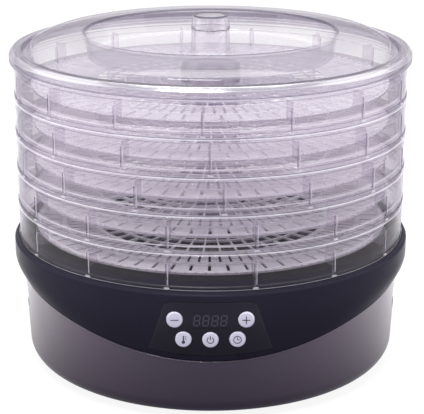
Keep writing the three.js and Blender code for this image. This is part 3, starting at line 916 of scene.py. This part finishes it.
def display_digits():
    """Four unlit seven-segment digits, just proud of the lens."""
    low, high = node_box("display_window")
    middle = (low.z + high.z) / 2
    digits = Shape()
    pitch, width, height, stroke, slant = 6.9, 4.2, 8.4, 0.85, 0.12

    def segment(x0, z0, x1, z1):
        along = Vector((x1 - x0, z1 - z0)).normalized() * (stroke * 0.55)
        across = Vector((-along.y, along.x)).normalized() * stroke / 2
        start, end = Vector((x0, z0)) + along, Vector((x1, z1)) - along
        tip = along.normalized() * stroke / 2
        points = [start - tip * 0.6, start + across + tip * 0.3, end + across - tip * 0.3,
                  end + tip * 0.6, end - across - tip * 0.3, start - across + tip * 0.3]
        verts = []
        for lift in (PANEL_FACE - 0.09, 0.0):
            verts += [on_band(p.x + slant * (p.y - middle), p.y, lift) for p in points]
        count = len(points)
        faces = [tuple(range(count))[::-1], tuple(range(count, 2 * count))]
        faces += [(i, (i + 1) % count, count + (i + 1) % count, count + i) for i in range(count)]
        digits.add(verts, faces)

    for k in range(4):
        left = (k - 1.5) * pitch - width / 2
        right, floor, roof = left + width, middle - height / 2, middle + height / 2
        for x0, z0, x1, z1 in (
            (left, floor, right, floor), (left, middle, right, middle), (left, roof, right, roof),
            (left, floor, left, middle), (left, middle, left, roof),
            (right, floor, right, middle), (right, middle, right, roof),
        ):
            segment(x0, z0, x1, z1)
    return digits.build("display_digits", DIGIT_GREY)


def arc(radius, start, end, steps, centre=(0, 0)):
    """Points along an arc between two angles in degrees."""
    angles = [math.radians(start + (end - start) * k / steps) for k in range(steps + 1)]
    return [(centre[0] + radius * math.cos(a), centre[1] + radius * math.sin(a)) for a in angles]


def stroke_ring(radius, width, start=0, end=360, centre=(0, 0)):
    """The outline of a thin arc, as one strip."""
    steps = max(6, int(abs(end - start) / 12))
    outer = arc(radius + width / 2, start, end, steps, centre)
    inner = arc(radius - width / 2, end, start, steps, centre)
    return outer + inner


def legend_outlines(symbol):
    """A key's generic symbol as outlines of (x, z) points about its centre."""
    def bar(x0, z0, x1, z1):
        return [(x0, z0), (x1, z0), (x1, z1), (x0, z1)]

    if symbol == "minus":
        return [bar(-3.1, -0.35, 3.1, 0.35)]
    if symbol == "plus":
        return [
            bar(-3.1, -0.35, 3.1, 0.35), bar(-0.35, 0.35, 0.35, 3.1), bar(-0.35, -3.1, 0.35, -0.35),
        ]
    if symbol == "temperature":
        bulb = arc(1.35, 0, 360, 20, (0, -2.0))[:-1]
        scale = [bar(1.2, z, 2.3, z + 0.4) for z in (0.2, 1.3, 2.4)]
        return [bulb, bar(-0.5, -0.9, 0.5, 3.2)] + scale
    if symbol == "power":
        return [stroke_ring(2.5, 0.65, 125, 415), bar(-0.35, 0.3, 0.35, 3.3)]
    return [
        stroke_ring(2.9, 0.6, 0, 180), stroke_ring(2.9, 0.6, 180, 360),
        bar(-0.3, -0.3, 0.3, 2.0), bar(0.3, -0.3, 1.7, 0.25),
    ]


def key(name, symbol):
    """A round key cap with a rolled edge, and its symbol printed on the face."""
    x, z, face, radius = key_centre(name)
    back = node_box(name)[1].y
    depth = back - face
    cap = fillet([
        (0, 0.0, 0), (2.5, 0.0, 0.2), (2.5, 1.3, 0.2), (radius + 1.25, 1.3, 0.3),
        (radius + 1.25, 2.3, 0.3), (radius, 2.4, 0.4), (radius, depth, 1.1), (0, depth + 0.12, 0),
    ], 5)
    turn = Matrix.Translation((x, back, z)) @ Matrix.Rotation(math.pi / 2, 4, "X")
    shape = Shape().add(*turned(cap, 56), move=turn)
    for outline in legend_outlines(symbol):
        verts, faces = slab(outline, (depth - 0.2, depth + 0.16))
        shape.add(verts, faces, 1, turn)
    return shape.build(name.replace("button", "key"), KEY_WHITE, LEGEND)


put(control_panel(), "base", "panel_gloss", "control_panel")
put(display_window(), "base", "display_lens", "display_window")
put(display_digits(), "base", "display_body")
for name, symbol in KEYS.items():
    put(key(name, symbol), name, "key_plastic", name)

# ---- Trays --------------------------------------------------------------

TRAY_ROWS = (  # slot rows in the floor: inner radius, outer radius, slots, solid steps
    (28, 42.5, 45, 1), (44, 56.5, 45, 1), (58, 70.5, 45, 1), (72, 84.5, 45, 1), (86, 98.5, 45, 1),
    (103, 124, 90, 3), (129, 144.5, 60, 5),
)
RIDGES = (43.2, 57.2, 71.2, 85.2, 101, 126.5, 146.5)  # radii of the rings on the floor
STEPS = 360  # angular cells of a tray's floor
TEETH = 120
CLEAR, LATTICE, RIB, SHADOW, PAINTED_HIGHLIGHT, COLLAR, MARGIN = range(7)


def tray_floor(turn):
    """The slotted floor, from the vent's tube to the lattice's outer edge."""
    radii, rows = [VENT - 1], []
    for inner, outer, slots, bar in TRAY_ROWS:
        radii += [inner, outer]
        rows += [None, (STEPS // slots, bar)]
    radii.append(MESH)
    rows.append(None)

    def solid(band, step):
        if rows[band] is None:
            return True
        pitch, bar = rows[band]
        return step % pitch < bar

    return polar_plate(radii, STEPS, solid, (FLOOR, FLOOR + FLOOR_WALL), turn)


def wall_look(r, z):
    """Which look a face of the tray's wall takes: bands along its thick edges and steps
    get painted highlight and painted shade, drawn as light and dark lines."""
    top = TRAY_PITCH - GAP
    if r < LIP + 0.3:
        return PAINTED_HIGHLIGHT if z > top + 4.6 else CLEAR
    for low, high, look in (
        (-1, 0.5, SHADOW), (0.5, 1.5, PAINTED_HIGHLIGHT), (3.0, 3.9, SHADOW),
        (top - 8.6, top - 7.7, PAINTED_HIGHLIGHT), (top - 3.5, top - 2.6, SHADOW),
        (top - 1.3, top - 0.3, PAINTED_HIGHLIGHT), (top - 0.3, top + 1, SHADOW),
    ):
        if low < z <= high:
            return look
    return CLEAR


def tray(index):
    """A whole tray, which stands for the frame's wall, floor and collar."""
    turn = math.radians(TRAY_TURNS[index] + 6)
    top = TRAY_PITCH - GAP
    inner = TRAY_RADIUS - 2.4
    wall = fillet([
        (TRAY_RADIUS, 0.0, 1.1),
        (TRAY_RADIUS, 3.0, 0.5),
        (TRAY_RADIUS - 1.0, 3.9, 0.4),
        (TRAY_RADIUS - 1.1, top - 8.6, 0.4),
        (TRAY_RADIUS - 0.3, top - 7.7, 0.4),
        (TRAY_RADIUS - 0.3, top - 3.5, 0.4),
        (TRAY_RADIUS, top - 2.6, 0.4),
        (TRAY_RADIUS, top, 1.2),
        (LIP, top, 0.4),
        (LIP, top + LIP_HEIGHT, 0.8),
        (LIP - 2, top + LIP_HEIGHT, 0.8),
        (LIP - 2, top - 3, 1.0),
        (inner, top - 5, 1.0),
        (inner, 3.5, 0.5),
        (TRAY_RADIUS - 2.0, 0.0, 0.5),
    ], 3)
    shape = Shape()
    turned_wall(shape, wall, 240, wall_look)
    for k in range(FINS):
        move = Matrix.Rotation(turn + 2 * math.pi * k / FINS, 4, "Z")
        fin = block((-0.7, 0.7), (-(TRAY_RADIUS - 1.7), -153), (FLOOR + 1.5, top - 5.2), 0.35, 2)
        shape.add(*fin, mat=RIB, move=move)
        rib = block((-0.7, 0.7), (-(TRAY_RADIUS - 1.7), -(LIP + 0.45)), (0.6, FLOOR + 0.2), 0.3, 1)
        shape.add(*rib, mat=RIB, move=move)
        # Painted shade on one edge of each fin and painted highlight on the other.
        for side in (-1, 1):
            strip = (side * 0.95 - 0.22, side * 0.95 + 0.22)
            depth = (-(TRAY_RADIUS - 0.7), -(TRAY_RADIUS - 1.5))
            edge = block(strip, depth, (4.2, top - 9), 0.1, 1)
            shape.add(*edge, mat=SHADOW if side < 0 else PAINTED_HIGHLIGHT, move=move)
        # The fin's foot gets painted highlight.
        foot = block((-2.2, 2.2), (-(TRAY_RADIUS - 0.1), -(TRAY_RADIUS - 1.4)), (0.5, 1.9), 0.3, 2)
        shape.add(*foot, mat=PAINTED_HIGHLIGHT, move=move)
    shape.add(*tray_floor(turn), mat=LATTICE)
    rim = fillet([(MESH + 0.05, FLOOR, 0), (inner + 0.6, FLOOR, 0.2),
                  (inner + 0.6, FLOOR + FLOOR_WALL, 0.2),
                  (MESH + 0.05, FLOOR + FLOOR_WALL, 0)], 2)
    shape.add(*revolved(rim, 180), mat=MARGIN)
    for radius in RIDGES:
        ridge = arc(0.75, 0, 180, 5, (radius, FLOOR + 1.55))
        shape.add(*revolved(ridge, 150), mat=LATTICE)
    # The teeth round the lattice get painted highlight, as sparkle.
    for k in range(TEETH):
        move = Matrix.Rotation(turn + 2 * math.pi * (k + 0.5) / TEETH, 4, "Z")
        tooth = block((-0.9, 0.9), (-MESH - 0.6, -MESH + 1.6), (FLOOR + 1.2, FLOOR + 2.6), 0.6, 2)
        shape.add(*tooth, mat=PAINTED_HIGHLIGHT, move=move)
    for radius, low, high in ((HUB, FLOOR - 0.4, FLOOR + 15), (VENT, FLOOR - 2, FLOOR + 13)):
        collar = fillet([
            (radius, low, 0.3), (radius, high, 0.7),
            (radius - 2, high, 0.7), (radius - 2, low, 0.3),
        ], 3)
        # The collar's top edge gets painted shade, as a dark line.
        turned_wall(shape, collar, 72, lambda r, z: SHADOW if z > high - 0.7 else COLLAR)
    shape.verts = [(x, y, z + TRAY_Z[index]) for x, y, z in shape.verts]
    name = TRAYS[index]
    collars = TOP_COLLAR if index == len(TRAYS) - 1 else COLLAR_CLEAR
    looks = (
        TRAY_CLEAR, FLOORS_CLEAR[index], TRAY_RIB, PAINTED_EDGE_SHADE, PAINTED_EDGE_HIGHLIGHT, collars, TRAY_MARGIN,
    )
    nodes = [name + part for part in ("_wall", "_floor", "_collar")]
    return put(shape.build(name + "_moulding", *looks), name, "clear_tray", *nodes)


for index in range(len(TRAYS)):
    tray(index)

# ---- Lid ----------------------------------------------------------------


DOME, LID_SHADE, RIM, WELL_BASE, COLUMN, BEVEL, GROOVE_SHADE_LINE, WELL_SIDE = range(8)


def lid_look(r, z):
    """Which look a face of the lid takes."""
    if r < KNOB + 0.2:
        return COLUMN
    if r < WELL - 0.6:
        return WELL_SIDE if z > WELL_FLOOR + 3 and r > KNOB + 4 else WELL_BASE
    # Painted shade: a dark line at the well's edge and along the rim's groove, and the darker copy
    # at the groove's floor and the rim's lower edge.
    if WELL - 0.6 < r < WELL + 1.6 and z > 20.2:
        return GROOVE_SHADE_LINE
    if 155.8 < r < 158.6 and 7.0 < z < 9.4:
        return GROOVE_SHADE_LINE
    if 152.2 < r < 156.6 and 5 < z < 8:
        return LID_SHADE
    if r > 164.4 and z > 5.2:
        return BEVEL
    if r > 157 and z > 8.6 or r > 166.5:
        return RIM
    if r > 164 and z < 1.2:
        return LID_SHADE
    return DOME


def turned_cap(shape, profile, segments, look):
    """As turned_wall, for an outline that runs from axis to axis."""
    verts, faces = turned(profile, segments)
    start, inner = len(shape.faces), profile[1:-1]
    shape.add(verts, faces)
    count = len(inner)
    for i in range(count - 1):
        (r0, z0), (r1, z1) = inner[i], inner[i + 1]
        mat = look((r0 + r1) / 2, (z0 + z1) / 2)
        for k in range(segments):
            shape.mats[start + k * (count + 1) + 2 + i] = mat


def lid():
    outline = fillet([
        (0, KNOB_SEAM - GAP, 0),
        (KNOB - 0.4, KNOB_SEAM - GAP, 0.6),
        (KNOB, WELL_FLOOR, 1.6),
        (WELL - 4.2, WELL_FLOOR, 4.5),
        (WELL - 0.4, 20.6, 0.8),
        (WELL + 2.2, 21.5, 0.9),
        (136, 20.2, 40),
        (150, 13.6, 2),
        (152.8, 6.4, 0.9),
        (156, 6.2, 0.9),
        (158.0, 9.3, 1.0),
        (165.2, 9.3, 1.6),
        (LID, 6, 1.4),
        (LID, 0, 0.9),
        (LIP + 1, 0, 0.4),
        (LIP + 1, 5.9, 0.6),
        (LIP - 3.6, 5.9, 0.6),
        (LIP - 3.6, 4.2, 0.4),
        (151, 4.2, 0.8),
        (147.6, 12.2, 8),
        (134.5, 18.2, 38),
        (WELL + 2.6, 19.4, 0.6),
        (WELL + 1.2, 19.0, 0.6),
        (WELL - 2.6, WELL_FLOOR - 2, 3.0),
        (KNOB - 2, WELL_FLOOR - 2, 0.6),
        (KNOB - 2.3, KNOB_SEAM - 2.3, 1.0),
        (0, KNOB_SEAM - 2.3, 0),
    ], 5)
    shape = Shape()
    raised = [(r, z + LID_Z) for r, z in outline]
    turned_cap(shape, raised, 240, lambda r, z: lid_look(r, z - LID_Z))
    looks = (
        LID_CLEAR, PAINTED_EDGE_SHADE, LID_RIM, WELL_CLEAR, KNOB_CLEAR, LID_BEVEL, SHADE_LINE_CLEAR, WELL_WALL,
    )
    return shape.build("lid_dome", *looks)


def knob_cap():
    outline = fillet([
        (0, KNOB_SEAM, 0),
        (4.5, KNOB_SEAM, 0.4),
        (4.5, KNOB_TOP - 2, 0.8),
        (KNOB - 3.8, KNOB_TOP - 2, 1.2),
        (KNOB - 2.0, KNOB_SEAM, 0.3),
        (KNOB + 0.15, KNOB_SEAM, 0.4),
        (KNOB - 1.5, KNOB_TOP - 0.2, 1.3),
        (KNOB - 3.4, KNOB_TOP, 0.5),
        (KNOB - 4.2, KNOB_TOP - 0.5, 0.4),
        (0, KNOB_TOP - 0.5, 0),
    ], 5)

    # Painted shade lines round the cap's top edge and at its seam.
    def look(r, z):
        if z > KNOB_TOP + LID_Z - 2.2 and r > KNOB - 4.4:
            return 1
        if z < KNOB_SEAM + LID_Z + 0.6 and r > KNOB - 2.5:
            return 1
        return 0

    shape = Shape()
    turned_cap(shape, [(r, z + LID_Z) for r, z in outline], 72, look)
    return shape.build("knob_cap_moulding", KNOB_CLEAR, SHADE_LINE_CLEAR)


put(lid(), "lid", "clear_lid", "lid")
put(knob_cap(), "lid", "clear_lid", "knob_cap")

# ---- Grille, plate, feet ------------------------------------------------


PLATE_STEPS = 180  # angular cells of the grille and the bottom plate


def air_grille():
    low, high = node_box("air_grille")
    radii = [12, 14, 27, 29, 42, 44, 57, 59, high.x - 4, high.x]
    pitches = {1: 6, 3: 4, 5: 3, 7: 2}  # of the slots in each band

    def solid(band, step):
        pitch = pitches.get(band)
        return pitch is None or step % pitch == 0 or step % 30 in (0, 1)

    shape = Shape().add(*polar_plate(radii, PLATE_STEPS, solid, (low.z, high.z)))
    dome = fillet([
        (0, low.z + 0.2, 0), (12.4, low.z + 0.2, 0.4),
        (12.4, high.z + 0.2, 0.8), (0, high.z + 1.4, 0),
    ], 4)
    shape.add(*turned(dome, 48))
    return shape.build("air_grille_plate", DECK_BLACK)


put(air_grille(), "base", "grille_plastic", "air_grille")


def bottom_plate():
    low, high = node_box("bottom_plate")
    radii = [6, 20, 33, 36, 48, 51, 62, 92, 104, 124, high.x - 0.8, high.x]

    def solid(band, step):
        return band not in (1, 3, 5) or step % 5 < 2

    shape = Shape().add(*polar_plate(radii, PLATE_STEPS, solid, (low.z, high.z)))
    return shape.build("bottom_plate_moulding", GREY_PLASTIC)


put(bottom_plate(), "base", "grey_plastic", "bottom_plate")


def foot(name):
    low, high = node_box(name)
    x, y = (low.x + high.x) / 2, (low.y + high.y) / 2
    half = (high.x - low.x) / 2
    outline = fillet([
        (0, 0, 0), (half - 3, 0, 0.3), (half - 2, 0, 0.8), (half, 3.7, 0.9),
        (4, 3.7, 0.2), (4, 9, 0.8), (0, 9, 0),
    ], 4)
    return Shape().add(*turned(outline, 48), move=upright(x, y)).build(name + "_rubber", RUBBER)


for n in (1, 2, 3, 4):
    put(foot(f"foot_{n}"), "base", "rubber", f"foot_{n}")

# ---- Finishes of the frame's own nodes ----------------------------------

FINISHES = {
    SCREW_STEEL: [f"case_screw_{n}" for n in (1, 2, 3, 4)] + ["motor_screw_1", "motor_screw_2"],
    TRAY_RIB: ["knob_screw"],
    BOARD_GREEN: ["button_board", "main_board"],
    PART_BLACK: ["transformer", "capacitor", "power_inlet", "display_module"],
    PART_BLUE: ["relay"],
    GREY_PLASTIC: ["air_duct"],
    MOTOR_STEEL: ["motor", "motor_bracket", "thermal_fuse", "temperature_sensor"],
    SHAFT_STEEL: ["fan_shaft"],
    FAN_NYLON: ["fan_impeller"],
    MICA_BROWN: ["heater_frame"],
    COIL_METAL: ["heater_coil"],
}
for material, names in FINISHES.items():
    for name in names:
        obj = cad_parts[name]
        for part_slot in obj.material_slots:
            part_slot.material = material
        shade(obj.data, 35)
